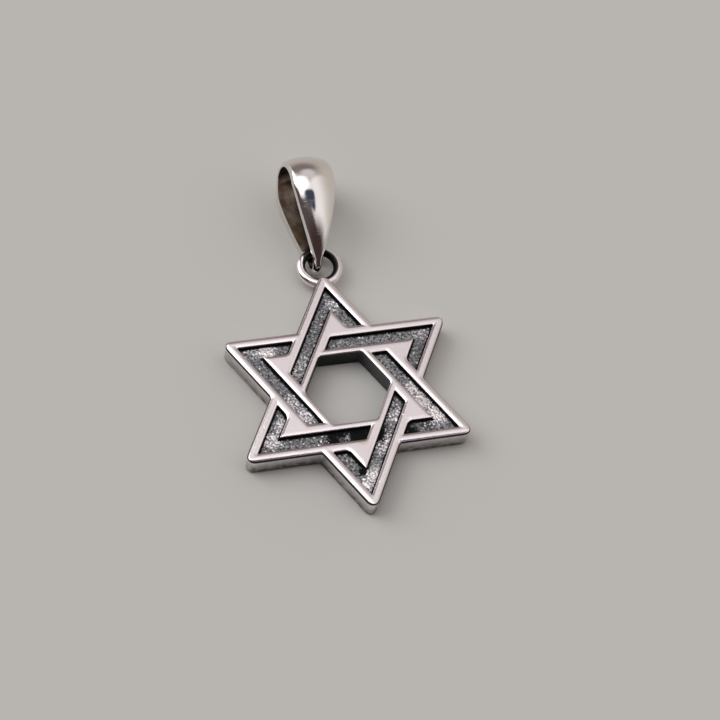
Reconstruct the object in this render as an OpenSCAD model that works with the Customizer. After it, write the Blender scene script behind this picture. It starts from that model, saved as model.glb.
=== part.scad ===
// Six-pointed star pendant of cast silver, two interlaced triangles with sunk channels.
// A round eye is soldered to the top tip, and a folded, tapered bail passes through it.
// The pendant lies on its back, with the bail resting beside it. Sizes are in millimetres.

/* [Star] */
// Distance between two opposite tips, measured as if the tips were sharp
star_across = 20; // [17:0.5:36]
// Thickness of the plate
plate_t = 1.85; // [1.2:0.05:3]
// Radius that rounds the six tips
tip_r = 0.5; // [0.3:0.05:0.9]
// Width of the bevel along the outer edges of the plate
edge_bevel = 0.2; // [0.05:0.05:0.35]

/* [Channels] */
// Width of the raised rim between the outline and a channel
outer_rim = 0.67; // [0.45:0.01:0.9]
// Width of a channel
channel_w = 1.03; // [0.6:0.01:1.3]
// Width of the raised rim between a channel and the hexagonal opening
inner_rim = 0.48; // [0.4:0.01:0.8]
// Width of the raised rim between the end of a channel and the channel beside it
end_rim = 0.7; // [0.5:0.01:1]
// Depth of the channels below the rims
channel_depth = 0.4; // [0.2:0.05:0.8]

/* [Eye] */
// Clear diameter of the eye
eye_hole = 2.14; // [1.9:0.02:3.2]
// Diameter of the eye's wire
eye_wire = 0.76; // [0.6:0.02:1]
// How far the centre of the wire lies inside the rounded end of the top tip
eye_seat = 0.1; // [0:0.02:0.25]
// How far the eye is soldered off the star's axis
eye_shift = 0.08; // [-0.15:0.01:0.15]
// Radius of the solder that covers the wire at the tip
solder_r = 0.3; // [0.2:0.02:0.35]

/* [Bail] */
// Length of the bail along its middle, from the narrow end to the round end
bail_length = 8.82; // [8:0.02:14]
// Depth of the round end, from the front leaf to the back leaf
bail_depth = 4.5; // [3.6:0.1:6]
// Width of the sheet at the round end
bail_width = 3.44; // [2.6:0.02:5]
// Width of the sheet at the narrow end
bail_end_width = 0.7; // [0.5:0.02:1]
// Extra width halfway along the leaves, which gives them a full outline
bail_belly = 0.28; // [0:0.02:0.5]
// Thickness of the sheet
bail_t = 0.32; // [0.2:0.02:0.45]
// Height of the dome across the sheet, where it is widest
bail_crown = 0.4; // [0.1:0.02:0.6]

/* [Clearances] */
// Play between the eye's wire and the inside of the bail's narrow end
bail_play = 0.14; // [0.1:0.02:0.3]
// Room between the underside of the eye and the back leaf that lies below it
leaf_play = 0.28; // [0.24:0.02:0.5]
// Gap between the bail's narrow end and the lower side of the eye
bail_gap = 0.62; // [0.4:0.02:0.7]

/* [Resting pose] */
// Angle by which the bail leans over to its right
bail_roll = 9; // [0:0.5:12]
// Angle by which the bail is turned away from the star's axis
bail_turn = -1.5; // [-5:0.5:5]
// Distance by which the bail's narrow end lies off the star's axis
bail_shift = -0.15; // [-0.2:0.05:0.1]

/* [Hidden] */

// Distances from the star's centre to its straight lines
side_line = star_across / 4;
outer_line = side_line - outer_rim;
inner_line = outer_line - channel_w;
hole_line = inner_line - inner_rim;
end_line = inner_line - end_rim;
tip_centre = 2 * (side_line - tip_r);
tip_reach = tip_centre + tip_r;
// A cut reaches this far past the face where it starts
cut_past = 0.2;

// The eye's ring
eye_r = (eye_hole + eye_wire) / 2;
eye_y = tip_reach - eye_seat + eye_r;
eye_z = bail_t + leaf_play + eye_wire / 2;

// The bail's side view: a large arc and a small arc, joined by two straight leaves
round_r = bail_depth / 2;
narrow_r = eye_wire / 2 + bail_play + bail_t;
bail_span = bail_length - round_r - narrow_r;
leaf_angle = asin((round_r - narrow_r) / bail_span);
round_steps = 28;
leaf_steps = 10;
narrow_steps = 10;
cross_steps = 10;

// Half the sheet's width and the height of its dome, at the distance s from the narrow end
function share(s) = min(1, max(0, s / bail_span));
function half_width(s) = let (f = share(s))
    (bail_end_width + (bail_width - bail_end_width) * f + 4 * bail_belly * f * (1 - f)) / 2;
function dome(s) = bail_crown * pow(2 * half_width(s) / bail_width, 2);

// One stop on the side view: [distance along, height, direction of the outward normal]
function arc_stop(centre, r, a) = [centre + r * cos(a), r * sin(a), a];
function mix(p, q, f) = p + (q - p) * f;
front = 90 + leaf_angle;
front_high = arc_stop(bail_span, round_r, front);
front_low = arc_stop(0, narrow_r, front);
back_high = arc_stop(bail_span, round_r, -front);
back_low = arc_stop(0, narrow_r, -front);
stops = [
    for (i = [0 : round_steps]) arc_stop(bail_span, round_r, front * (1 - 2 * i / round_steps)),
    for (i = [1 : leaf_steps - 1]) mix(back_high, back_low, i / leaf_steps),
    for (i = [0 : narrow_steps]) arc_stop(0, narrow_r, -front - (360 - 2 * front) * i / narrow_steps),
    for (i = [1 : leaf_steps - 1]) mix(front_low, front_high, i / leaf_steps)
];

// A point of the sheet: u runs from -1 to 1 across it, and depth goes in from the outer face
function sheet_point(stop, u, depth) =
    let (h = dome(stop[0]) * (1 - u * u) - depth)
    [half_width(stop[0]) * u, stop[0] + h * cos(stop[2]), stop[1] + h * sin(stop[2])];
function section(stop) = [
    for (j = [0 : cross_steps]) sheet_point(stop, 2 * j / cross_steps - 1, 0),
    for (j = [0 : cross_steps]) sheet_point(stop, 1 - 2 * j / cross_steps, bail_t)
];

// Turning a point about each axis
function turn_x(a, p) = [p[0], p[1] * cos(a) - p[2] * sin(a), p[1] * sin(a) + p[2] * cos(a)];
function turn_y(a, p) = [p[0] * cos(a) + p[2] * sin(a), p[1], p[2] * cos(a) - p[0] * sin(a)];
function turn_z(a, p) = [p[0] * cos(a) - p[1] * sin(a), p[0] * sin(a) + p[1] * cos(a), p[2]];

// The back leaf lies flat, so the bail is tilted by the difference of its two ends
bail_tilt = asin((round_r + dome(bail_span) - narrow_r - dome(0)) / bail_span);
bail_points = [
    for (stop = stops) for (p = section(stop)) turn_z(bail_turn, turn_x(bail_tilt, turn_y(bail_roll, p)))
];
bail_lowest = min([for (p = bail_points) p[2]]);
bail_y = eye_y - eye_hole / 2 + bail_gap + narrow_r;
bail_end = bail_y + max([for (p = bail_points) p[1]]);

// The origin lies below the middle of the whole pendant
middle_y = (bail_end - tip_reach) / 2;

// Where two lines meet, each given by the direction of its normal and its distance
function meet(n1, d1, n2, d2) =
    [d1 * sin(n2) - d2 * sin(n1), d2 * cos(n1) - d1 * cos(n2)] / sin(n2 - n1);

// One triangle of the star with its three rounded tips
function triangle_outline() = [
    for (tip = [90, 210, 330]) for (a = [-60 : 15 : 60])
        tip_centre * [cos(tip), sin(tip)] + tip_r * [cos(tip + a), sin(tip + a)]
];

// A cutter for a bevel on an edge that runs along Y through the origin, with metal at -X and -Z
module bevel_cut() {
    w = 4 * edge_bevel;
    rotate([0, 45, 0]) translate([-w / 2, -4 * side_line, -edge_bevel / sqrt(2)])
        cube([w, 8 * side_line, w]);
}

module triangle_plate() {
    difference() {
        linear_extrude(plate_t) polygon(triangle_outline());
        for (side = [30, 150, 270]) rotate(side) {
            translate([side_line, 0, plate_t]) bevel_cut();
            translate([side_line, 0, 0]) mirror([0, 0, 1]) bevel_cut();
        }
    }
}

// The channel of the top tip. Its left leg passes over the next band, and its right leg ends below one.
module channel() {
    translate([0, 0, plate_t - channel_depth])
        linear_extrude(channel_depth + cut_past)
            polygon([
                meet(150, outer_line, 30, outer_line),
                meet(150, outer_line, 210, end_line),
                meet(150, inner_line, 210, end_line),
                meet(150, inner_line, 30, inner_line),
                meet(90, side_line, 30, inner_line),
                meet(90, side_line, 30, outer_line)
            ]);
}

// The eye's ring, with the solder that joins it to the tip
module eye() {
    translate([eye_shift, eye_y, eye_z])
        rotate_extrude($fn = 64) translate([eye_r, 0]) circle(d = eye_wire, $fn = 32);
    translate([eye_shift, eye_y - eye_r, 0])
        cylinder(r = solder_r, h = plate_t, $fn = 32);
}

module star() {
    color([0.76, 0.75, 0.74])
        translate([0, -middle_y, 0]) {
            difference() {
                union() {
                    triangle_plate();
                    rotate(180) triangle_plate();
                }
                for (tip = [0 : 5]) rotate(60 * tip) channel();
                translate([0, 0, -cut_past])
                    cylinder(r = hole_line / cos(30), h = plate_t + 2 * cut_past, $fn = 6);
            }
            eye();
        }
}

module bail() {
    n = 2 * (cross_steps + 1);
    rings = len(stops);
    faces = [
        for (i = [0 : rings - 1]) for (j = [0 : n - 1])
            let (k = (i + 1) % rings, m = (j + 1) % n, a = i * n + j, c = k * n + m)
                each [[a, i * n + m, c], [a, c, k * n + j]]
    ];
    color([0.80, 0.79, 0.77])
        translate([bail_shift, bail_y - middle_y, -bail_lowest])
            polyhedron(bail_points, faces, convexity = 4);
}

star();
bail();
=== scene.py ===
# %% [markdown]
# A cast silver star pendant, dressed for the camera.
#
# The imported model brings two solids: the star with its soldered eye, and the bail that hangs
# in the eye. They fix every size and place. This lesson builds a finer mesh for each of them
# at the same place, with worn edges, rounded corners and a grainy cast floor in the channels,
# and then gives them the two finishes of the real jewel: polished silver and black oxide.
#
# The work is done in millimetres, because jewellery is measured in them, and each finished
# mesh is brought to metres at the end.

# %% Load the frame and the tools
import math

import bmesh
import bpy
from mathutils import Matrix, Vector, noise


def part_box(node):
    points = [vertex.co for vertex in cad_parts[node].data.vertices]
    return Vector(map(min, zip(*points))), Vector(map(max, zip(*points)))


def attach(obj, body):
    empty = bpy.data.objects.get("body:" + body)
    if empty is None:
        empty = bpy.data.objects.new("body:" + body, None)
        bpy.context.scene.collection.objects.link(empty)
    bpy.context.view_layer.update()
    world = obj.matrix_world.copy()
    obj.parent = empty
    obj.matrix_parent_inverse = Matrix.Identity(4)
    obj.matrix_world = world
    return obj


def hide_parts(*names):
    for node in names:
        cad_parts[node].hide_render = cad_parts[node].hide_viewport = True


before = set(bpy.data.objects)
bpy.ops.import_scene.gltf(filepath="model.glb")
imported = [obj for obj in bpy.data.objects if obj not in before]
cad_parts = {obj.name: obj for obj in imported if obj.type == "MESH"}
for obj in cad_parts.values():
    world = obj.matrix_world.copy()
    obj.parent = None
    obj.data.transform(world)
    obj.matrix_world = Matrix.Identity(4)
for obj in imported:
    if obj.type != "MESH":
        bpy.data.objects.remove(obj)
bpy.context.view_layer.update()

MM = 0.001
scene = bpy.context.scene
print("nodes:", sorted(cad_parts))

# %% [markdown]
# A node of the frame lies exactly where the solid lies, so its box gives the places that
# the new meshes are fitted to. The helpers below read a box in millimetres, give a direction
# in the plane of the star, and turn a finished bmesh into a named object.

# %% Helpers for boxes, directions and finished pieces
def node_box(name):
    low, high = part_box(name)
    return low / MM, high / MM


def direction(degrees):
    angle = math.radians(degrees)
    return Vector((math.cos(angle), math.sin(angle), 0))


def everything(bm):
    return bm.verts[:] + bm.edges[:] + bm.faces[:]


def new_verts(result):
    return [part for part in result["geom"] if isinstance(part, bmesh.types.BMVert)]


def is_closed(bm):
    return all(edge.is_manifold for edge in bm.edges)


def object_from(bm, name):
    mesh = bpy.data.meshes.new(name)
    bm.to_mesh(mesh)
    bm.free()
    made = bpy.data.objects.new(name, mesh)
    scene.collection.objects.link(made)
    return made


star_low, star_high = node_box("star")
bail_low, bail_high = node_box("bail")
print("star box in mm:", [round(c, 2) for c in (*star_low, *star_high)])
print("bail box in mm:", [round(c, 2) for c in (*bail_low, *bail_high)])

# %% [markdown]
# The photograph was taken from in front and above, a little from the left, with the camera
# turned a few degrees. The camera is placed by the point it looks at, its heading, its height
# above the floor and its distance, and then rolled about its own line of sight.

# %% Camera
aim = Vector((1.773, -1.901, 0)) * MM
camera_heading = math.radians(24.6)
camera_height = math.radians(60.83)
camera_roll = math.radians(14.6)
camera_distance = 134.24 * MM

camera_data = bpy.data.cameras.new("camera")
camera_data.sensor_width = 36
camera_data.lens = 89.378
camera_data.clip_start = 0.01
camera_data.clip_end = 10
camera = bpy.data.objects.new("camera", camera_data)
scene.collection.objects.link(camera)

sight = Vector((
    math.sin(camera_heading) * math.cos(camera_height),
    math.cos(camera_heading) * math.cos(camera_height),
    -math.sin(camera_height),
))
level_right = Vector((math.cos(camera_heading), -math.sin(camera_heading), 0))
level_up = level_right.cross(sight)
right = level_right * math.cos(camera_roll) + level_up * math.sin(camera_roll)
up = right.cross(sight)
camera.matrix_world = Matrix((
    (right.x, up.x, -sight.x, 0),
    (right.y, up.y, -sight.y, 0),
    (right.z, up.z, -sight.z, 0),
    (0, 0, 0, 1),
))
camera.location = aim - sight * camera_distance
scene.camera = camera
print("camera at", [round(c / MM, 1) for c in camera.location], "mm")

# %% [markdown]
# Shader nodes are made by one helper: it adds a node, sets its options and fills its inputs,
# each with a plain value or with the output of an earlier node. Short helpers for the kinds
# that come again and again stand on it, so a finish later reads like a list of its steps.

# %% Helpers for shader nodes
def node(tree, kind, inputs=None, **options):
    made = tree.nodes.new(kind)
    for name, value in options.items():
        setattr(made, name, value)
    for name, value in (inputs or {}).items():
        if isinstance(value, bpy.types.NodeSocket):
            tree.links.new(value, made.inputs[name])
        else:
            made.inputs[name].default_value = value
    return made


def calc(tree, operation, first, second=0.0, third=0.0):
    made = node(tree, "ShaderNodeMath", {0: first, 1: second, 2: third}, operation=operation)
    return made.outputs[0]


def compare(tree, operation, first, second):
    made = node(tree, "ShaderNodeVectorMath", {0: first, 1: second}, operation=operation)
    return made.outputs["Value"]


def ramp(tree, value, low, high, to_low=0.0, to_high=1.0):
    inputs = {"Value": value, "From Min": low, "From Max": high, "To Min": to_low, "To Max": to_high}
    made = node(tree, "ShaderNodeMapRange", inputs, interpolation_type="SMOOTHSTEP")
    return made.outputs["Result"]


def cloudy(tree, vector, scale, detail):
    made = node(tree, "ShaderNodeTexNoise", {"Vector": vector, "Scale": scale, "Detail": detail})
    return made.outputs[0]


def mix_colour(tree, share, first, second):
    made = node(tree, "ShaderNodeMix", {0: share, 6: first, 7: second}, data_type="RGBA")
    return made.outputs[2]


# %% Helpers for node groups
def new_group(name, inputs, outputs):
    group = bpy.data.node_groups.new(name, "ShaderNodeTree")
    for socket, kind, value in inputs:
        made = group.interface.new_socket(socket, in_out="INPUT", socket_type=kind)
        made.default_value = value
    for socket, kind in outputs:
        group.interface.new_socket(socket, in_out="OUTPUT", socket_type=kind)
    return group, group.nodes.new("NodeGroupInput"), group.nodes.new("NodeGroupOutput")


def use_group(tree, group, inputs):
    return node(tree, "ShaderNodeGroup", inputs, node_tree=group)


# %% [markdown]
# Polished silver shows what is around it, so the light matters as much as the metal. The
# studio is one soft dome, painted in layers on a dim room. Each layer is a round patch of the
# sky with a soft rim. It is placed by its azimuth and its angle from straight up, and it is
# full as far as one angle from its centre and ends at another. One node group makes them all.

# %% A round patch of the sky
sky_patch, patch_in, patch_out = new_group(
    "sky_patch",
    [
        ("Direction", "NodeSocketVector", (0, 0, 1)),
        ("Centre", "NodeSocketVector", (0, 0, 1)),
        ("Full Cosine", "NodeSocketFloat", 0.9),
        ("Edge Cosine", "NodeSocketFloat", 0.7),
    ],
    [("Mask", "NodeSocketFloat")],
)
near_centre = compare(sky_patch, "DOT_PRODUCT", patch_in.outputs["Direction"], patch_in.outputs["Centre"])
patch = ramp(sky_patch, near_centre, patch_in.outputs["Edge Cosine"], patch_in.outputs["Full Cosine"])
sky_patch.links.new(patch, patch_out.inputs["Mask"])

dome = bpy.data.worlds.new("studio_dome")
dome.use_nodes = True
scene.world = dome
sky = dome.node_tree
sky.nodes.clear()
sky_direction = node(sky, "ShaderNodeTexCoord").outputs["Generated"]


def layer(below, colour, turn, lean, full, edge):
    """Paints a round patch of the sky over the layers below it. The angles are in degrees."""
    from_top = math.radians(lean)
    inputs = {
        "Direction": sky_direction,
        "Centre": direction(turn) * math.sin(from_top) + Vector((0, 0, math.cos(from_top))),
        "Full Cosine": math.cos(math.radians(full)),
        "Edge Cosine": math.cos(math.radians(edge)),
    }
    mask = use_group(sky, sky_patch, inputs).outputs["Mask"]
    return mix_colour(sky, mask, below, (*colour, 1))


print("a sky patch has", len(sky_patch.nodes), "nodes")

# %% [markdown]
# The wide patches are the walls and the ceiling of the studio. The three bright ones are lights:
# a window on the left, which also casts the soft shadows, and two lamps above. The dark ones
# give the polished bail its deep tones: a wide one low in front for the dark stripe on its
# narrow part, and three small discs, side by side, for the dark spot on its middle.

# %% Soft studio dome
light = (0.09, 0.07, 0.07, 1)
# The warm wall behind and to the right, and the dim, then paler ceiling
light = layer(light, (0.47, 0.41, 0.37), turn=35, lean=80, full=60, edge=75)
light = layer(light, (0.20, 0.17, 0.16), turn=90, lean=40, full=15, edge=45)
light = layer(light, (0.45, 0.42, 0.42), turn=30, lean=15, full=0, edge=45)
light = layer(light, (0.66, 0.62, 0.63), turn=65, lean=30, full=5, edge=20)
# The pale wall behind on the left, with the window above it
light = layer(light, (0.58, 0.54, 0.50), turn=140, lean=85, full=15, edge=40)
light = layer(light, (3.2, 3.2, 3.2), turn=150, lean=45, full=10, edge=30)
# The broad light panel on the right, and the wall below it
light = layer(light, (0.94, 0.90, 0.90), turn=-20, lean=45, full=30, edge=40)
light = layer(light, (0.52, 0.48, 0.44), turn=10, lean=80, full=15, edge=55)
# The two lamps
light = layer(light, (2.0, 2.0, 2.0), turn=160, lean=10, full=0, edge=25)
light = layer(light, (1.2, 1.2, 1.2), turn=-125, lean=20, full=0, edge=10)
# The dark places in front
light = layer(light, (0.05, 0.03, 0.03), turn=-80, lean=80, full=30, edge=50)
light = layer(light, (0.05, 0.06, 0.09), turn=-80, lean=20, full=5, edge=10)
light = layer(light, (0.05, 0.06, 0.09), turn=-60, lean=22, full=5, edge=10)
light = layer(light, (0.05, 0.06, 0.09), turn=-61, lean=27, full=3, edge=8)
background = node(sky, "ShaderNodeBackground", {"Color": light, "Strength": 1.0})
node(sky, "ShaderNodeOutputWorld", {"Surface": background.outputs[0]})
scene.view_settings.view_transform = "Standard"
print("sky patches:", len([n for n in sky.nodes if n.type == "GROUP"]))

# %% [markdown]
# The floor is a plain pale sheet under the pendant. It is no part of the jewel.

# %% Floor
floor_size = 1.5
floor_colour = (0.60, 0.59, 0.565, 1)
floor_roughness = 0.85

bm = bmesh.new()
bmesh.ops.create_grid(bm, x_segments=1, y_segments=1, size=floor_size)
floor = object_from(bm, "floor")
floor_paint = bpy.data.materials.new("pale_floor")
floor_paint.use_nodes = True
floor_shader = floor_paint.node_tree.nodes["Principled BSDF"]
floor_shader.inputs["Base Color"].default_value = floor_colour
floor_shader.inputs["Roughness"].default_value = floor_roughness
floor.data.materials.append(floor_paint)
print("floor:", 2 * floor_size, "m wide")

# %% [markdown]
# The star is two triangles laced over and under each other. All of its straight lines run in
# three directions, at five distances from the centre: the outline, the two sides of a channel,
# the opening, and the line where a long channel ends. The sizes below are those of the solid,
# and its box gives the rest.

# %% Sizes of the star
tip_round = 0.5
outer_rim = 0.67
channel_width = 1.03
inner_rim = 0.48
end_rim = 0.7
channel_depth = 0.4
SIDES = (30, 90, 150, 210, 270, 330)
COS_30 = math.cos(math.radians(30))

plate_top = star_high.z
tip_centre = (star_high.x - star_low.x - 2 * tip_round) / 2 / COS_30
side_line = tip_centre / 2 + tip_round
outer_line = side_line - outer_rim
inner_line = outer_line - channel_width
hole_line = inner_line - inner_rim
end_line = inner_line - end_rim
star_lines = (side_line, outer_line, inner_line, hole_line, end_line)
channel_floor = plate_top - channel_depth
star_centre = Vector((0, star_low.y + tip_centre + tip_round, 0))
print("lines of the star:", [round(line, 3) for line in star_lines])

# %% [markdown]
# The plan is cut from one flat sheet, as it would be from card: a square is sliced along all of
# those lines, and each small cell then asks where it is. Cells outside the outline or in the
# opening are waste, and some of the others are channel.
#
# A face can't have a hole in it, and the rims go round the opening and round each channel. So
# two more slices on each side of the star give them seams: one in the middle of the side, and
# one near its tip. Both keep away from the corners and from the ends of the channels, because
# those are rounded later, and a round needs free room beside it.

# %% Cut the plan along its lines
# A distance in millimetres that counts as none, and one at which points become one
CLOSE = 1e-3
WELD = 1e-4


def distances(point):
    """How far a point lies from the centre in each of the six directions."""
    return {side: direction(side).dot(point) for side in SIDES}


def cell_distances(face):
    return distances(face.calc_center_median())


def is_star(d):
    return max(d[30], d[150], d[270]) < side_line or max(d[90], d[210], d[330]) < side_line


def is_opening(d):
    return max(d.values()) < hole_line


def slice_plan(degrees, distance):
    bmesh.ops.bisect_plane(
        plan, geom=everything(plan), dist=WELD,
        plane_co=direction(degrees) * distance, plane_no=direction(degrees),
    )


middle_seam = 0
tip_seam = 6
half_sheet = 2.4 * side_line
plan = bmesh.new()
bmesh.ops.create_grid(plan, x_segments=1, y_segments=1, size=half_sheet)
bmesh.ops.translate(plan, verts=plan.verts[:], vec=(0, 0, plate_top))
for side in SIDES:
    for line in star_lines:
        slice_plan(side, line)
    for seam in (middle_seam, tip_seam):
        slice_plan(side + 90, seam)
cells = len(plan.faces)
waste = [f for f in plan.faces if not is_star(cell_distances(f)) or is_opening(cell_distances(f))]
bmesh.ops.delete(plan, geom=waste, context="FACES")
print("cells cut:", cells, "kept:", len(plan.faces))

# %% [markdown]
# Each tip has one channel of two legs. The left leg is long: it crosses over the next band and
# stops where it meets the one after. The right leg is short, because that band passes over it.
# Repeating this rule round the six tips is what makes the triangles look laced.

# %% Find the channels
def legs(d, tip):
    """How far a point lies to a tip's left and right, up toward it, and down along its left leg."""
    return [d[(angle + tip) % 360] for angle in (150, 30, 90, 210)]


def is_channel(d):
    for tip in range(0, 360, 60):
        left, right, over, below = legs(d, tip)
        if inner_line < left < outer_line and right < outer_line and below < end_line:
            return True
        if inner_line < right < outer_line and left < outer_line and over > side_line:
            return True
    return False


mark = plan.faces.layers.int.new("channel")
for face in plan.faces:
    face[mark] = int(is_channel(cell_distances(face)))
print("cells in channels:", sum(face[mark] for face in plan.faces))

# %% [markdown]
# The cells of a channel are now joined to one face, and so are those of the rims, all but their
# seams. Dissolving an edge leaves its end points behind. Those on a straight edge are dissolved
# too, and only those, because the points at the corners of the star have to stay.

# %% Join the cells
STRAIGHT = 0.01


def crosses(edge, side, place, near, far):
    """Whether an edge runs straight across a rim, at a place along one side of the star."""
    out = [direction(side).dot(v.co) for v in edge.verts]
    along = [direction(side + 90).dot(v.co) for v in edge.verts]
    in_place = all(abs(value - place) < CLOSE for value in along)
    return in_place and near - CLOSE < min(out) and max(out) < far + CLOSE


def is_seam(edge):
    return any(
        crosses(edge, side, middle_seam, hole_line, inner_line)
        or crosses(edge, side, tip_seam, outer_line, side_line)
        for side in SIDES
    )


def is_needless(edge):
    """Whether an edge only parts two cells of a channel, or two cells of a rim."""
    in_channel = [face[mark] for face in edge.link_faces]
    if len(in_channel) < 2:
        return False
    return all(in_channel) or not any(in_channel) and not is_seam(edge)


needless = [e for e in plan.edges if is_needless(e)]
bmesh.ops.dissolve_edges(plan, edges=needless, use_verts=False, use_face_split=False)
loose = [v for v in plan.verts if not v.link_edges]
bmesh.ops.delete(plan, geom=loose, context="VERTS")
straight = [v for v in plan.verts if len(v.link_edges) == 2 and v.calc_edge_angle(1) < STRAIGHT]
bmesh.ops.dissolve_verts(plan, verts=straight)
print("faces of the plan:", len(plan.faces), "of them channels:", sum(f[mark] for f in plan.faces))

# %% [markdown]
# The sheet becomes a plate by one extrusion, and the channels are sunk by another. An extrusion
# inside a plate leaves its old faces behind, so those are deleted.

# %% Raise the plate and sink the channels
raised = bmesh.ops.extrude_face_region(plan, geom=plan.faces[:])
bmesh.ops.translate(plan, verts=new_verts(raised), vec=(0, 0, -plate_top))
bmesh.ops.recalc_face_normals(plan, faces=plan.faces[:])

channels = [f for f in plan.faces if f[mark] and f.calc_center_median().z > plate_top - CLOSE]
sunk = bmesh.ops.extrude_face_region(plan, geom=channels)
bmesh.ops.delete(plan, geom=channels, context="FACES_ONLY")
bmesh.ops.translate(plan, verts=new_verts(sunk), vec=(0, 0, -channel_depth))
print("plate volume:", round(plan.calc_volume(), 1), "cubic mm, closed:", is_closed(plan))

# %% [markdown]
# Nothing on a polished casting is sharp. First the upright edges are rounded: the tips are worn
# quite round, and the notches and the corners of the opening and of the channels a little. The
# left corner of the opening and the free ends of the short legs are worn more than the others.
# The bevel operator is given its affect, segments, profile and material, because its own
# defaults differ from those of the editor.

# %% Round the upright edges
# Two faces that meet at more than this angle, in radians, make an edge to round
BENT = 0.3
# Edges this near a distance from the centre count as lying on it
NEAR = 0.1


def rounded(edges, width, segments):
    bmesh.ops.bevel(
        plan, geom=edges, offset=width, offset_type="OFFSET", segments=segments,
        profile=0.5, affect="EDGES", clamp_overlap=True, material=-1,
    )


def uprights(foot, nearest, farthest):
    """The upright edges that start at a level, between two distances from the centre."""
    found = []
    for edge in plan.edges:
        low, high = sorted((v.co for v in edge.verts), key=lambda co: co.z)
        upright = (high.xy - low.xy).length < CLOSE and abs(low.z - foot) < CLOSE
        if upright and nearest < low.xy.length < farthest and edge.calc_face_angle(0) > BENT:
            found.append(edge)
    return found


def around(distance):
    return distance - NEAR, distance + NEAR


# A tip is so sharp that its bevel is nearly twice as wide as the radius that it leaves
tip_bevel = 1.97 * tip_round
corner_round = 0.16
worn_corner_round = 0.4
end_round = 0.3
end_reach = 0.2
channel_corner_round = 0.09
beyond = 3 * side_line
notch_distance = side_line / COS_30
corner_distance = hole_line / COS_30

rounded(uprights(0, tip_centre, beyond), tip_bevel, 8)
rounded(uprights(0, *around(notch_distance)), corner_round, 4)
corners = uprights(0, *around(corner_distance))
rounded([e for e in corners if e.verts[0].co.x < NEAR - corner_distance], worn_corner_round, 8)
rounded(uprights(0, *around(corner_distance)), corner_round, 4)
rounded(uprights(channel_floor, side_line, side_line + end_reach), end_round, 8)
rounded(uprights(channel_floor, 0, beyond), channel_corner_round, 3)
print("faces after the upright rounds:", len(plan.faces))

# %% [markdown]
# Then the level edges get a small round all the way along: the outline, the opening and the
# channels on top, and a wider one below. Which edge is which is read from the wall beside it,
# by the level where that wall ends.

# %% Round the level edges
# The most that the normal of a wall points up or down
STEEP = 0.1


def level_edges(height, foot):
    """The edges between a level face at a height and a wall that goes down, or up, to a foot."""
    found = []
    for edge in plan.edges:
        if any(abs(v.co.z - height) > CLOSE for v in edge.verts):
            continue
        walls = [f for f in edge.link_faces if abs(f.normal.z) < STEEP]
        ends = [v.co.z for f in walls for v in f.verts]
        if len(walls) == 1 and min(abs(z - foot) for z in ends) < CLOSE:
            found.append(edge)
    return found


def is_inside(edge):
    return (edge.verts[0].co.xy + edge.verts[1].co.xy).length / 2 < corner_distance + NEAR


top_round = 0.13
opening_round = 0.08
channel_round = 0.08
foot_round = 0.18
rounded([e for e in level_edges(plate_top, 0) if not is_inside(e)], top_round, 5)
rounded([e for e in level_edges(plate_top, 0) if is_inside(e)], opening_round, 4)
rounded(level_edges(plate_top, channel_floor), channel_round, 4)
foot_edges = level_edges(0, plate_top - top_round) + level_edges(0, plate_top - opening_round)
rounded(foot_edges, foot_round, 3)
print("faces after all rounds:", len(plan.faces), "closed:", is_closed(plan))

# %% [markdown]
# The eye is a ring of round wire, made by spinning a circle. A full spin has to merge its last
# step with its first. The ring is soldered to the top tip, and solder flows: it leaves a soft
# fillet where the two meet. So the ring, a drop of solder and a slightly smaller copy of the
# tip are melted to one skin by a voxel remesh and smoothed, and a Boolean joins that skin to
# the plate. The plate keeps its crisp faces, and the joint looks poured.

# %% Ring, solder and the end of the tip
eye_hole = 2.14
eye_wire = 0.76
eye_shift = 0.08
eye_height = 0.98
solder_inset = 0.02
solder_size = (0.34, 0.34, 0.84)
# How much the copy of the tip is thinner and lower than the tip itself
copy_thinner = 0.03
copy_lower = 0.2

ring_radius = (eye_hole + eye_wire) / 2
ring_top = star_high.y - star_centre.y
ring_centre = Vector((eye_shift, ring_top - ring_radius - eye_wire / 2, eye_height))
solder_place = Vector((eye_shift, ring_centre.y - ring_radius - solder_inset, eye_height))
copy_round = tip_round - copy_thinner

ring = bmesh.new()
bmesh.ops.create_circle(ring, segments=32, radius=eye_wire / 2)
upright = Matrix.Rotation(math.radians(90), 3, "X")
bmesh.ops.rotate(ring, verts=ring.verts[:], cent=(0, 0, 0), matrix=upright)
bmesh.ops.translate(ring, verts=ring.verts[:], vec=(ring_radius, 0, 0))
bmesh.ops.spin(
    ring, geom=everything(ring), cent=(0, 0, 0), axis=(0, 0, 1), dvec=(0, 0, 0),
    angle=math.tau, steps=96, use_merge=True,
)
bmesh.ops.translate(ring, verts=ring.verts[:], vec=ring_centre)
bmesh.ops.create_icosphere(
    ring, subdivisions=3, radius=1,
    matrix=Matrix.Translation(solder_place) @ Matrix.Diagonal((*solder_size, 1)),
)
bmesh.ops.create_cone(
    ring, cap_ends=True, segments=32, radius1=copy_round, radius2=copy_round,
    depth=plate_top - copy_lower, matrix=Matrix.Translation((0, tip_centre, plate_top / 2)),
)
bmesh.ops.recalc_face_normals(ring, faces=ring.faces[:])
print("eye parts:", len(ring.faces), "faces, ring centre", [round(c, 2) for c in ring_centre])

# %% Melt the joint and unite it with the plate
def applied(obj):
    """A new bmesh with the object's modifiers applied. The object is deleted."""
    scene.view_layers[0].update()
    shaped = obj.evaluated_get(bpy.context.evaluated_depsgraph_get())
    bm = bmesh.new()
    bm.from_mesh(shaped.to_mesh())
    shaped.to_mesh_clear()
    bpy.data.objects.remove(obj)
    return bm


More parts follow.
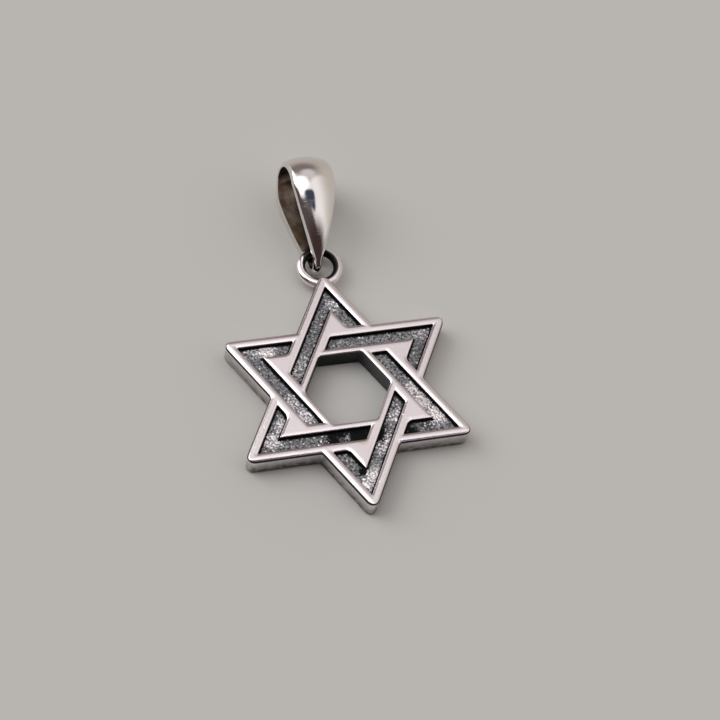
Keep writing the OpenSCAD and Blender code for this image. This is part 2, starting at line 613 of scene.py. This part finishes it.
eye = object_from(ring, "eye_parts")
melt = eye.modifiers.new("melt", "REMESH")
melt.mode = "VOXEL"
melt.voxel_size = 0.05
flow = eye.modifiers.new("flow", "SMOOTH")
flow.factor = 0.5
flow.iterations = 6
eye = object_from(applied(eye), "eye_skin")

plate = object_from(plan, "plate")
union = plate.modifiers.new("union", "BOOLEAN")
union.operation = "UNION"
union.solver = "EXACT"
union.object = eye
star = applied(plate)
bpy.data.objects.remove(eye)
print("star faces:", len(star.faces), "closed:", is_closed(star))

# %% [markdown]
# The channels were never polished, so their floors keep the skin of the casting, and the rims
# are not quite flat. Both need points to move, but so far each of them is one flat face. It is
# split into triangles, and their long edges are halved again and again, which leaves a fine
# and irregular net. A regular grid would show its rows in the grain.

# %% Nets for the rims and the floors
# The least that the normal of a level face points up
LEVEL = 0.99
first_pitch = 1.6
finer = 0.7
rim_pitch = 0.12
grain_pitch = 0.1


def level_faces(height):
    """The level faces of the star at a height."""
    return [
        f for f in star.faces
        if f.normal.z > LEVEL and abs(f.calc_center_median().z - height) < CLOSE
    ]


def edges_at(height):
    """The edges of the level faces at a height, each of them once."""
    return list(dict.fromkeys(e for f in level_faces(height) for e in f.edges))


def make_net(height, pitch):
    """Splits the level faces at a height until none of their edges is longer than the pitch."""
    longest = first_pitch
    while longest > pitch:
        longest *= finer
        bmesh.ops.triangulate(star, faces=level_faces(height))
        long_edges = [e for e in edges_at(height) if e.calc_length() > longest]
        bmesh.ops.subdivide_edges(star, edges=long_edges, cuts=1)
    bmesh.ops.triangulate(star, faces=level_faces(height))
    bmesh.ops.beautify_fill(star, faces=level_faces(height), edges=edges_at(height), method="ANGLE")


# What is stored at each point for the material
grain = star.verts.layers.float.new("grain")
# oxide: black oxide, with painted shade on some floors and painted dark reflection in the eye
oxide_and_shade = star.verts.layers.float.new("oxide_and_shade")
polish = star.verts.layers.float.new("polish")
# tarnish: brown tarnish, with painted shade on the outer walls
tarnish_and_shade = star.verts.layers.float.new("tarnish_and_shade")
worn = star.verts.layers.float.new("worn")

make_net(plate_top, rim_pitch)
make_net(channel_floor, grain_pitch)
print("faces with both nets:", len(star.faces))

# %% [markdown]
# The skin of the casting is small grains of a tenth of a millimetre. Each point of a floor is
# raised or lowered by a fixed noise, so that the grain is real relief, not a painted one.
#
# Years of wear have rubbed some places of the floors bare, and in a few the metal stands
# higher. Others are painted deep black, and the one by the lowest tip is painted shade in a
# deep corner. Both kinds are lists of round spots, in millimetres from the centre of the star.

# %% Worn and sooty places
# Each worn place: x, y, radius, how bare it is, and how far the floor stands higher there
worn_places = (
    (0.45, 7.2, 0.8, 0.6, 0.0),
    (-3.0, 2.4, 1.6, 0.3, 0.0),
    (-6.3, 4.2, 0.8, 0.6, 0.0),
    (-5.3, 4.0, 1.0, 1.0, 0.03),
    (-3.5, -1.6, 1.1, 0.7, 0.0),
    (-4.1, -0.5, 1.0, 0.5, 0.0),
    (-5.2, -2.3, 1.0, 0.7, 0.03),
    (-6.2, -3.3, 0.9, 0.8, 0.0),
    (4.9, -0.5, 0.9, 0.8, 0.0),
    (5.4, -1.6, 1.1, 0.85, 0.03),
    (6.2, -2.9, 1.2, 0.95, 0.05),
    (0.9, -7.4, 1.6, 0.9, 0.22),
    (-0.4, -8.0, 1.0, 0.8, 0.1),
    (1.9, -4.6, 1.5, 0.6, 0.03),
    (2.9, -2.6, 0.9, 0.6, 0.0),
    (-0.6, -3.8, 0.4, 1.3, 0.0),
    (-1.2, -4.0, 0.5, 0.9, 0.0),
    (6.6, 3.9, 0.9, 0.4, 0.0),
)
# Each dark place: x, y, radius and strength. The fifth is painted shade in a deep corner
black_and_shade_places = (
    (1.3, -3.8, 1.4, 1.0),
    (0.0, -3.8, 1.5, 0.92),
    (-1.5, -3.8, 1.4, 0.85),
    (3.9, -4.1, 1.0, 0.8),
    (-0.2, -6.7, 0.5, 1.0),
    (5.2, -3.5, 0.8, 0.3),
)
print("worn places:", len(worn_places), "sooty places:", len(black_and_shade_places))

# %% Grainy channel floors
grain_height = 0.06
spot_core = 0.3
# The least that a face of the grain points up, which parts the floors from their walls
FACING_UP = 0.3


def fade(value, low, high):
    """Nought at the first bound, one at the second, and a soft curve between them."""
    share = min(1, max(0, (value - low) / (high - low)))
    return share * share * (3 - 2 * share)


def grain_at(point):
    flat = Vector((point.x, point.y, 0))
    coarse = noise.noise(flat * 5)
    fine = noise.noise(flat * 9 + Vector((7, 3, 1)))
    return 0.45 * coarse + 0.55 * fine


def spot_share(point, x, y, radius):
    """One in the core of a round spot, fading to nought at its radius."""
    return fade((point.co.xy - Vector((x, y))).length, radius, spot_core * radius)


floor_points = {v for f in level_faces(channel_floor) for v in f.verts}
for point in floor_points:
    lift = grain_at(point.co)
    point[grain] = 0.5 + 0.5 * lift
    rise = grain_height * lift
    for x, y, radius, bare, step in worn_places:
        share = spot_share(point, x, y, radius)
        point[worn] = max(point[worn], bare * share)
        rise += step * share
    point[oxide_and_shade] = max(blackness * spot_share(point, x, y, radius) for x, y, radius, blackness in black_and_shade_places)
    point.co.z += rise
floor_inside = {v for v in floor_points if all(f.normal.z > FACING_UP for f in v.link_faces)}
print("grain points:", len(floor_points))

# %% [markdown]
# The black oxide is left where the polishing wheel can't reach: on the floors and walls of the
# channels, on the inner walls of the opening and inside the eye. The same stored value also
# carries painted shade on the floors beside the walls and painted dark reflection inside the eye.
# The next two helpers tell how far a point lies from the nearest channel. The least of its
# distances from the channel's lines would do, but the corners of a channel are rounded, so the
# least is a soft one that rounds them too.

# %% How far a point is from a channel
channel_corner = 0.15


def soft_min(values, radius):
    """The least of some distances, rounded where the two least ones meet in a corner."""
    first, second = sorted(values)[:2]
    return first - max(0, radius - (second - first)) ** 2 / (4 * radius)


def channel_margin(d):
    """How far a point lies inside the nearest channel, below zero outside."""
    margins = []
    for tip in range(0, 360, 60):
        left, right, over, below = legs(d, tip)
        long_leg = (left - inner_line, outer_line - left, outer_line - right, end_line - below)
        worn_end = soft_min((right - inner_line, over - side_line), end_round)
        short_leg = (worn_end, outer_line - right, outer_line - left)
        margins.append(soft_min(long_leg, channel_corner))
        margins.append(soft_min(short_leg, channel_corner))
    return max(margins)


middle_of_leg = direction(150) * (inner_line + outer_line) / 2
print("margin in the middle of a channel:", round(channel_margin(distances(middle_of_leg)), 3), "mm")

# %% [markdown]
# The material reads how black, how polished and how brown each point of the mesh is, and each
# kind of place has its own short rule. The oxide on a wall sets in a few hundredths of a
# millimetre below the top, so that the rims end in a thin line of bare, bright metal. The outer
# walls are tarnished and painted darker with shade, most between the tips and low on the side
# that faces the camera. They are darker still at the far left.

# %% Rules for each kind of place
# A point this little outside a rounded edge still belongs to it
SLACK = 0.01
floor_oxide = 0.66
# How dark the painted line in the round of the outline is
outline_line_darkness = 0.8
# How black the inner side of the ring is: oxide and painted dark reflection
eye_oxide_and_reflection = 0.95
# How much less black the right walls of the opening are
opening_right_lighter = 0.25
# How much further inwards the black begins on the left of the ring
ring_left_lighter = 0.12
# The outer walls: tarnish and painted shade at the tips and more between them, painted shade at the foot
# of the front walls, and darker at the far left
wall_tarnish_and_shade = 0.65
notch_tarnish_and_shade = 0.25
painted_foot_shade = 0.5
far_left_darkening = 0.25
tarnish_under = 0.2


def dress_floor(point, d):
    # Beside the walls the floor is painted darker: painted shade in the corners, on top of its oxide
    painted_corner_shade = fade(channel_margin(d), 0.2, 0.05)
    point[oxide_and_shade] = floor_oxide + (1 - floor_oxide) * max(point[oxide_and_shade], painted_corner_shade)


def dress_channel_wall(point, depth):
    point[oxide_and_shade] = fade(depth, 0.015, 0.05)
    point[polish] = 1


def dress_opening(point, depth):
    point[oxide_and_shade] = fade(depth, 0.02, 0.1) * (1 - opening_right_lighter * fade(point.co.x, 0.5, 2.5))
    point[polish] = 1


def dress_eye(point):
    """The ring: it shines more with its distance from the tip, and its inner side is black with oxide and
    painted dark reflection.
    """
    point[polish] = fade(point.co.y, tip_centre + 0.2, tip_centre + 0.9)
    from_wire = (point.co.xy - ring_centre.xy).length - ring_radius
    from_wire += ring_left_lighter * fade(point.co.x - ring_centre.x, 0, -1)
    point[oxide_and_shade] = eye_oxide_and_reflection * fade(from_wire, 0.06, -0.16)


def dress_outer_wall(point, d, depth):
    """The outline: a thin painted dark line in its round, and a wall below with tarnish and painted
    shade.
    """
    point[polish] = 1
    # The dark line in the round is painted: it stands in for a dark reflection along the edge
    dark_line = fade(depth, 0.003, 0.02) * fade(depth, top_round - 0.005, top_round - 0.03)
    point[oxide_and_shade] = outline_line_darkness * dark_line
    on_wall = fade(depth, 0.1, 0.22)
    between = fade(point.co.xy.length, 8.6, 5.8)
    facing_camera = fade(d[270], side_line - 0.1, side_line - 0.02)
    # Tarnish and painted shade on the wall, more in the notches between the tips
    point[tarnish_and_shade] = on_wall * (wall_tarnish_and_shade + notch_tarnish_and_shade * between)
    # Painted shade at the foot of the walls that face the camera
    point[tarnish_and_shade] += painted_foot_shade * facing_camera * fade(depth, 0.8, 1.7)
    # Darker at the far left
    point[tarnish_and_shade] += far_left_darkening * on_wall * fade(point.co.x, -4.5, -6)
    if point.co.z < CLOSE:
        point[tarnish_and_shade] = tarnish_under


# %% Dress each point of the star
for point in star.verts:
    d = distances(point.co)
    depth = plate_top - point.co.z
    below_top = depth > CLOSE
    if point in floor_inside:
        dress_floor(point, d)
    elif channel_margin(d) > -channel_round - SLACK and below_top:
        dress_channel_wall(point, depth)
    elif max(d.values()) < hole_line + opening_round + SLACK and below_top:
        dress_opening(point, depth)
    elif point.co.y > tip_centre + 0.2:
        dress_eye(point)
    elif below_top:
        dress_outer_wall(point, d, depth)
print("blackened points:", sum(1 for point in star.verts if point[oxide_and_shade] > 0.5))

# %% [markdown]
# A rim that was polished by hand is never flat. The wheel rounds it softly toward every edge, so
# it is pillowed, and it leaves shallow waves on the wider faces. Both are small, but a polished
# face shows them at once: the light runs along the rims in bright lines.
#
# Each point sinks by its nearness to the channels and the opening, and more by its nearness to
# the outline. The walls below the rims sink with them, less and less down to the floors.

# %% Pillow the rims
pillow_drop = 0.055
pillow_reach = 0.3
outer_drop = 0.12
outer_reach = 0.4
opening_corner = 0.2
wave_height = 0.009
wave_scale = 0.45
pillow_depth = 0.39


def outline_margin(d):
    """The distance to the outline. Beside a notch that is the distance to its corner."""
    first = side_line - max(d[30], d[150], d[270])
    second = side_line - max(d[90], d[210], d[330])
    low, high = sorted((first, second))
    if low > high / 2:
        return math.sqrt(low * low + high * high - low * high) / COS_30
    return high


def slope(distance, reach):
    """One at an edge, falling ever more gently to nought at its reach."""
    return max(0, 1 - max(0, distance) / reach) ** 2


for point in star.verts:
    depth = plate_top - point.co.z
    if depth > pillow_depth:
        continue
    d = distances(point.co)
    to_opening = -soft_min([hole_line - value for value in d.values()], opening_corner)
    inner = slope(-channel_margin(d), pillow_reach) + slope(to_opening, pillow_reach)
    outer = slope(outline_margin(d), outer_reach)
    if depth < CLOSE:
        point[polish] = fade(inner + outer, 0.02, 0.3)
    wave = wave_height * noise.noise(Vector((point.co.x, point.co.y, 0)) * wave_scale)
    wave *= 1 - min(1, inner + outer)
    sink = pillow_drop * min(1, inner) + outer_drop * outer
    point.co.z += (wave - sink) * fade(depth, pillow_depth, 0)
print("pillowed points:", sum(1 for point in star.verts if 0 < point[polish] < 1))

# %% [markdown]
# Both pieces are finished in the same way. The mesh is moved to its place and brought to metres,
# while its object stays at the origin. Its shading is smooth but for real corners, and weighted
# normals keep the wide faces flat beside their small rounds. Then the piece is attached to the
# body that it rides on, and the node that it stands in for is hidden.

# %% Bring a mesh to its place
def finish_piece(bm, name, place, smooth_below):
    """Moves a mesh to its place in metres, and smooths its shading below an angle."""
    bmesh.ops.translate(bm, verts=bm.verts[:], vec=place)
    bmesh.ops.scale(bm, verts=bm.verts[:], vec=(MM, MM, MM))
    for face in bm.faces:
        face.smooth = True
    piece = object_from(bm, name)
    piece.data.set_sharp_from_angle(angle=math.radians(smooth_below))
    even = piece.modifiers.new("even_shading", "WEIGHTED_NORMAL")
    even.keep_sharp = True
    return piece


star_piece = finish_piece(star, "star_with_eye", star_centre, 35)
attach(star_piece, "root")
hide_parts("star")
print("star points:", len(star_piece.data.vertices))

# %% [markdown]
# The bail is one strip of thin sheet. On the real pendant it is cut as a long lozenge, domed
# lengthwise, folded round so that both ends meet, and soldered there. The mesh is made the same
# way: a fine grid, extruded to the thickness of the sheet, is the blank, and each of its points
# is taken to its place on the folded strip.
#
# Seen from the side, the fold is a drop: a large arc, a small arc and two leaves. The back leaf
# is flat, and the front leaf bulges a little.

# %% Sizes of the bail
bail_length = 8.82
bail_depth = 4.5
bail_width = 3.44
end_width = 0.7
belly = 0.28
sheet = 0.32
crown = 0.4
rest_play = 0.14
leaf_bulge = 0.32
softening = 2.8
# Softening the folded line pulls its round end in, so its arc is drawn this much larger
drawn_larger = 0.1

round_radius = bail_depth / 2 + drawn_larger
narrow_radius = eye_wire / 2 + rest_play + sheet
span = bail_length - bail_depth / 2 - narrow_radius
leaf_angle = math.asin((round_radius - narrow_radius) / span)
turn = math.pi / 2 + leaf_angle
print("round end:", round(round_radius, 2), "mm, narrow end:", round(narrow_radius, 2), "mm")

# %% [markdown]
# Across the strip, three things change with the place along it: how wide it is, how high its
# dome rises, and how its outer face falls at the two long edges. The left edge was filed to a
# slant, which shows as a bright line in front, and the right edge was only polished round.

# %% The section of the strip
front_crown = 0.35
round_width = 0.3
round_depth = 0.2
slant_width = 0.14
slant_depth = 0.17
slant_curve = 1.2
# How much of the slant the back leaf has, as a share of the front leaf's
back_slant = 0.3


def half_width(along):
    share = min(1, max(0, along / span))
    return (end_width + (bail_width - end_width) * share + 4 * belly * share * (1 - share)) / 2


def frontness(outward):
    """One where the outer face points straight up, and nought where it points straight down."""
    return (1 + math.sin(outward)) / 2


def dome_height(along, outward):
    """The crown of the sheet, which stays fuller on the front leaf than on the back leaf."""
    share = 2 * half_width(along) / bail_width
    back = share * share
    front = share + front_crown * (1 - share) ** 2
    return crown * (back + (front - back) * frontness(outward))


def edge_drop(along, across, outward):
    """How far the outer face falls near its long edges: slanted on the left, round on the right."""
    half = half_width(along)
    from_edge = (1 - abs(across)) * half
    if across < 0:
        width = min(slant_width, 0.6 * half)
        depth = slant_depth * (back_slant + (1 - back_slant) * frontness(outward))
        return depth * max(0, 1 - from_edge / width) ** slant_curve
    width = min(round_width, 0.8 * half)
    inward = max(0, 1 - from_edge / width)
    return round_depth * (1 - math.sqrt(1 - inward * inward))


print("widest:", round(2 * half_width(span), 2), "mm, narrowest:", round(2 * half_width(0), 2), "mm")

# %% [markdown]
# The folded line is drawn from its four parts, and then softened: each stop is the mean of the
# line around it, over a longer stretch at the round end than at the narrow one. So the arcs run
# into the leaves as they do in bent metal, without a change of curve that a reflection would
# show.

# %% The folded line
line_parts = (
    2 * turn * round_radius,
    span * math.cos(leaf_angle),
    (math.tau - 2 * turn) * narrow_radius,
    span * math.cos(leaf_angle),
)
line_length = sum(line_parts)
narrow_softening = 0.2
mean_steps = 12


def arc_stop(centre, radius, angle):
    return Vector((centre + radius * math.cos(angle), radius * math.sin(angle)))


def drawn_stop(way):
    """A stop on the drawn line of two arcs and two leaves, which starts and ends on the front."""
    way = way % line_length
    part = 0
    while part < 3 and way > line_parts[part]:
        way -= line_parts[part]
        part += 1
    done = way / line_parts[part]
    if part == 0:
        return arc_stop(span, round_radius, turn * (1 - 2 * done))
    if part == 1:
        return arc_stop(span, round_radius, -turn).lerp(arc_stop(0, narrow_radius, -turn), done)
    if part == 2:
        return arc_stop(0, narrow_radius, -turn - (math.tau - 2 * turn) * done)
    outward = Vector((math.cos(turn), math.sin(turn)))
    straight = arc_stop(0, narrow_radius, turn).lerp(arc_stop(span, round_radius, turn), done)
    return straight + outward * 4 * leaf_bulge * done * (1 - done)


def fold_stop(share):
    """The softened stop: the mean of its neighbours, and the direction that points outward."""
    way = share * line_length
    roundness = min(1, max(0, drawn_stop(way).x / span))
    reach = softening * (narrow_softening + (1 - narrow_softening) * roundness)
    near = [drawn_stop(way + reach * (k / mean_steps - 0.5)) for k in range(mean_steps + 1)]
    step = near[-1] - near[0]
    return sum(near, Vector((0, 0))) / len(near), math.atan2(step.y, step.x) + math.pi / 2


print("length of the blank:", round(line_length, 1), "mm")

# %% [markdown]
# The blank is a unit square. Its points are crowded toward the long edges by a sine, because
# the edges need the finest steps. The inner face is marked for the dark film and painted shade
# inside a bail, but not quite to its edges. The two cut ends are deleted, and the fold brings
# them together, so that their points can be welded.

# %% Cut the blank and fold it
half_blank = 0.5
bail = bmesh.new()
film_and_shade_inside = bail.verts.layers.float.new("oxide_and_shade")
bmesh.ops.create_grid(bail, x_segments=32, y_segments=180, size=half_blank)
thick = bmesh.ops.extrude_face_region(bail, geom=bail.faces[:])
for point in new_verts(thick):
    from_edge = half_blank - abs(point.co.x)
    point.co.z = -sheet
    point[film_and_shade_inside] = 0.5 + 0.5 * fade(from_edge, 0.05, 0.12)
ends = [f for f in bail.faces if all(abs(v.co.y) > half_blank - CLOSE for v in f.verts)]
bmesh.ops.delete(bail, geom=ends, context="FACES")
for point in bail.verts:
    across = math.sin(math.pi * point.co.x)
    stop, outward = fold_stop(point.co.y + half_blank)
    rise = dome_height(stop.x, outward) * (1 - across * across) + point.co.z
    if point.co.z > -sheet / 2:
        rise -= edge_drop(stop.x, across, outward)
    point.co = (
        half_width(stop.x) * across,
        stop.x + rise * math.cos(outward),
        stop.y + rise * math.sin(outward),
    )
bmesh.ops.remove_doubles(bail, verts=bail.verts[:], dist=WELD)
bmesh.ops.recalc_face_normals(bail, faces=bail.faces[:])
print("cut ends:", len(ends), "folded points:", len(bail.verts), "closed:", is_closed(bail))

# %% [markdown]
# The bail lies on its back leaf, leans over to its right and is turned a little, as the solid
# does. The node's box gives its place.

# %% Lay the bail down
bail_lean = math.radians(9)
bail_turned = math.radians(-1.5)

round_end = round_radius + dome_height(span, -turn)
narrow_end = narrow_radius + dome_height(0, -turn)
bail_tilt = math.asin((round_end - narrow_end) / span)
leaning = Matrix.Rotation(bail_lean, 3, "Y")
level = Matrix.Rotation(bail_tilt, 3, "X")
turning = Matrix.Rotation(bail_turned, 3, "Z")
bmesh.ops.rotate(bail, verts=bail.verts[:], cent=(0, 0, 0), matrix=turning @ level @ leaning)

lowest = Vector([min(v.co[axis] for v in bail.verts) for axis in range(3)])
highest = Vector([max(v.co[axis] for v in bail.verts) for axis in range(3)])
to_node = (bail_low + bail_high - lowest - highest) / 2
to_node.z = bail_low.z - lowest.z
print("bail box in mm:", [round(c, 2) for c in highest - lowest])
print("node box in mm:", [round(c, 2) for c in bail_high - bail_low])

bail_piece = finish_piece(bail, "folded_bail", to_node, 40)
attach(bail_piece, "root")
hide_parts("bail")

# %% [markdown]
# Materials come next. Both pieces have the fine marks of polishing: a cloudy haze, and thin
# scratches that run one way. They are one node group with named inputs, and each material
# gives it its own values. All patterns read Object coordinates, brought to millimetres by a
# Mapping node.

# %% Marks of polishing
polish_marks, marks_in, marks_out = new_group(
    "polish_marks",
    [
        ("Vector", "NodeSocketVector", (0, 0, 0)),
        ("Smoothness", "NodeSocketFloat", 0.1),
        ("Haze", "NodeSocketFloat", 0.1),
        ("Scratches", "NodeSocketFloat", 0.05),
    ],
    [("Roughness", "NodeSocketFloat"), ("Height", "NodeSocketFloat")],
)
marks_place = marks_in.outputs["Vector"]
haze = marks_in.outputs["Haze"]
smoothness = marks_in.outputs["Smoothness"]
cloud = cloudy(polish_marks, marks_place, 0.9, 3.0)
stretched = node(
    polish_marks, "ShaderNodeMapping",
    {"Vector": marks_place, "Rotation": (0, 0, 0.6), "Scale": (0.7, 14.0, 14.0)},
)
lines = cloudy(polish_marks, stretched.outputs[0], 1.0, 2.0)
scratch = ramp(polish_marks, lines, 0.56, 0.70)
hazy = calc(polish_marks, "MULTIPLY_ADD", cloud, haze, smoothness)
scratched = calc(polish_marks, "MULTIPLY_ADD", scratch, marks_in.outputs["Scratches"], hazy)
engraved = calc(polish_marks, "MULTIPLY_ADD", scratch, -0.5, cloud)
polish_marks.links.new(scratched, marks_out.inputs["Roughness"])
polish_marks.links.new(engraved, marks_out.inputs["Height"])
print("nodes in polish_marks:", len(polish_marks.nodes))

# %% [markdown]
# A stain has no pattern to follow, only a place. A round soft spot, with a centre and a radius
# in millimetres, is the second group.

# %% A soft spot
soft_spot, spot_in, spot_out = new_group(
    "soft_spot",
    [
        ("Vector", "NodeSocketVector", (0, 0, 0)),
        ("Centre", "NodeSocketVector", (0, 0, 0)),
        ("Radius", "NodeSocketFloat", 1.0),
        ("Strength", "NodeSocketFloat", 1.0),
    ],
    [("Mask", "NodeSocketFloat")],
)
apart = compare(soft_spot, "DISTANCE", spot_in.outputs["Vector"], spot_in.outputs["Centre"])
in_radii = calc(soft_spot, "DIVIDE", apart, spot_in.outputs["Radius"])
soft_disc = ramp(soft_spot, in_radii, 1.0, 0.2)
spot_mask = calc(soft_spot, "MULTIPLY", soft_disc, spot_in.outputs["Strength"])
soft_spot.links.new(spot_mask, spot_out.inputs["Mask"])
print("nodes in soft_spot:", len(soft_spot.nodes))

# %% [markdown]
# Each material starts from the same three steps: a metallic shader, its coordinates in
# millimetres, and the values that were stored at the points of the mesh. The marks also stand
# out by a hundredth of a millimetre, which a Bump node gives to the shading alone.

# %% Helpers for silver
mark_height = 0.01 * MM


def new_silver(name):
    """A new metallic material, its nodes, its shader and its coordinates in millimetres."""
    made = bpy.data.materials.new(name)
    made.use_nodes = True
    tree = made.node_tree
    shader = tree.nodes["Principled BSDF"]
    shader.inputs["Metallic"].default_value = 1.0
    coords = node(tree, "ShaderNodeTexCoord").outputs["Object"]
    in_mm = node(tree, "ShaderNodeMapping", {"Vector": coords, "Scale": (1 / MM, 1 / MM, 1 / MM)})
    return made, tree, shader, in_mm.outputs[0]


def stored(tree, name):
    return node(tree, "ShaderNodeAttribute", attribute_name=name).outputs["Fac"]


def emboss(tree, shader, height):
    bump = node(tree, "ShaderNodeBump", {"Height": height, "Strength": 0.2, "Distance": mark_height})
    tree.links.new(bump.outputs[0], shader.inputs["Normal"])


# %% [markdown]
# The star's material has two finishes in one. Where the stored oxide is nought it is satin
# polished silver, a little warm, with one faint yellow stain, and brown on its walls that is
# tarnish and painted shade. Where it is one it is black silver sulphide, dull and rough, and in
# some places painted shade. The highest grains of a channel floor are rubbed bare again, most
# of all at the worn places, and the oxide between them is grey with dust.

# %% Star silver
star_bright = (0.95, 0.88, 0.895, 1)
star_hazy = (0.87, 0.80, 0.815, 1)
yellow_stain = (0.72, 0.55, 0.26, 1)
# Brown of the tarnish and of the painted shade on the walls
tarnish_and_shade_brown = (0.10, 0.097, 0.075, 1)
dust_in_shade = (0.10, 0.10, 0.113, 1)
dust_on_top = (0.46, 0.455, 0.475, 1)
# The black of the sulphide, also used for painted shade
sulphide_and_shade_black = (0.004, 0.004, 0.005, 1)
stain_place = (0.15, -9.3, 1.85)

star_metal, tree, shader, place = new_silver("star_silver")
marks = use_group(
    tree, polish_marks, {"Vector": place, "Smoothness": 0.30, "Haze": 0.16, "Scratches": 0.05},
)
bright = stored(tree, "polish")
black = stored(tree, "oxide_and_shade")

# The grains that stand highest are bare, and the wear adds to their height
speckle = cloudy(tree, place, 8.0, 3.0)
sparkle = calc(tree, "MULTIPLY_ADD", speckle, 0.9, stored(tree, "grain"))
sparkle = calc(tree, "MULTIPLY_ADD", stored(tree, "worn"), 0.32, sparkle)
bare_grain = calc(tree, "MULTIPLY", ramp(tree, sparkle, 1.06, 1.24), ramp(tree, black, 1.0, 0.8))
oxide_and_shade_left = calc(tree, "MULTIPLY", black, calc(tree, "MULTIPLY_ADD", bare_grain, -0.85, 1.0))

# The colour of the metal, with its stain, and its tarnish with painted shade
silver = mix_colour(tree, marks.outputs["Height"], star_bright, star_hazy)
stain = use_group(
    tree, soft_spot, {"Vector": place, "Centre": stain_place, "Radius": 0.6, "Strength": 0.45},
)
silver = mix_colour(tree, stain.outputs["Mask"], silver, yellow_stain)
mottle = ramp(tree, cloudy(tree, place, 2.2, 3.0), 0.3, 0.7, 0.6, 1.0)
brown = calc(tree, "MULTIPLY", stored(tree, "tarnish_and_shade"), mottle)
silver = mix_colour(tree, brown, silver, tarnish_and_shade_brown)

# The colour of the oxide and its painted shade, and the mixture of both finishes
dusty = mix_colour(tree, ramp(tree, sparkle, 0.74, 1.12), dust_in_shade, dust_on_top)
sulphide_and_shade = mix_colour(tree, ramp(tree, oxide_and_shade_left, 0.5, 0.95), dusty, sulphide_and_shade_black)
star_colour = mix_colour(tree, ramp(tree, oxide_and_shade_left, 0.0, 0.5), silver, sulphide_and_shade)
tree.links.new(star_colour, shader.inputs["Base Color"])
tree.links.new(ramp(tree, oxide_and_shade_left, 0.3, 0.9, 1.0, 0.0), shader.inputs["Metallic"])
shader.inputs["Specular IOR Level"].default_value = 0.1
rough = calc(tree, "MULTIPLY", marks.outputs["Roughness"], ramp(tree, bright, 0.0, 1.0, 1.0, 0.3))
rough = calc(tree, "MULTIPLY_ADD", oxide_and_shade_left, 0.2, rough)
tree.links.new(rough, shader.inputs["Roughness"])
emboss(tree, shader, marks.outputs["Height"])
star_piece.data.materials.append(star_metal)
print("nodes in star_silver:", len(tree.nodes))

# %% [markdown]
# The bail is polished brighter than the star, almost to a mirror. Only its inside is dark,
# with a thin brown film that changes in cloudy patches, darkened further as painted shade.

# %% Bail silver
bail_bright = (0.88, 0.85, 0.83, 1)
bail_hazy = (0.83, 0.80, 0.78, 1)
# Colours of the inside: a brown film, darkened as painted shade
film_and_shade_dark = (0.10, 0.07, 0.05, 1)
film_and_shade_light = (0.22, 0.185, 0.16, 1)

bail_metal, tree, shader, place = new_silver("bail_silver")
marks = use_group(
    tree, polish_marks, {"Vector": place, "Smoothness": 0.04, "Haze": 0.05, "Scratches": 0.02},
)
dark = stored(tree, "oxide_and_shade")
silver = mix_colour(tree, marks.outputs["Height"], bail_bright, bail_hazy)
patches = ramp(tree, cloudy(tree, place, 0.9, 2.0), 0.35, 0.65)
film_and_shade = mix_colour(tree, patches, film_and_shade_dark, film_and_shade_light)
bail_colour = mix_colour(tree, ramp(tree, dark, 0.5, 1.0), silver, film_and_shade)
rough = calc(tree, "MULTIPLY_ADD", dark, 0.15, marks.outputs["Roughness"])
tree.links.new(bail_colour, shader.inputs["Base Color"])
tree.links.new(rough, shader.inputs["Roughness"])
emboss(tree, shader, marks.outputs["Height"])
bail_piece.data.materials.append(bail_metal)
print("nodes in bail_silver:", len(tree.nodes))
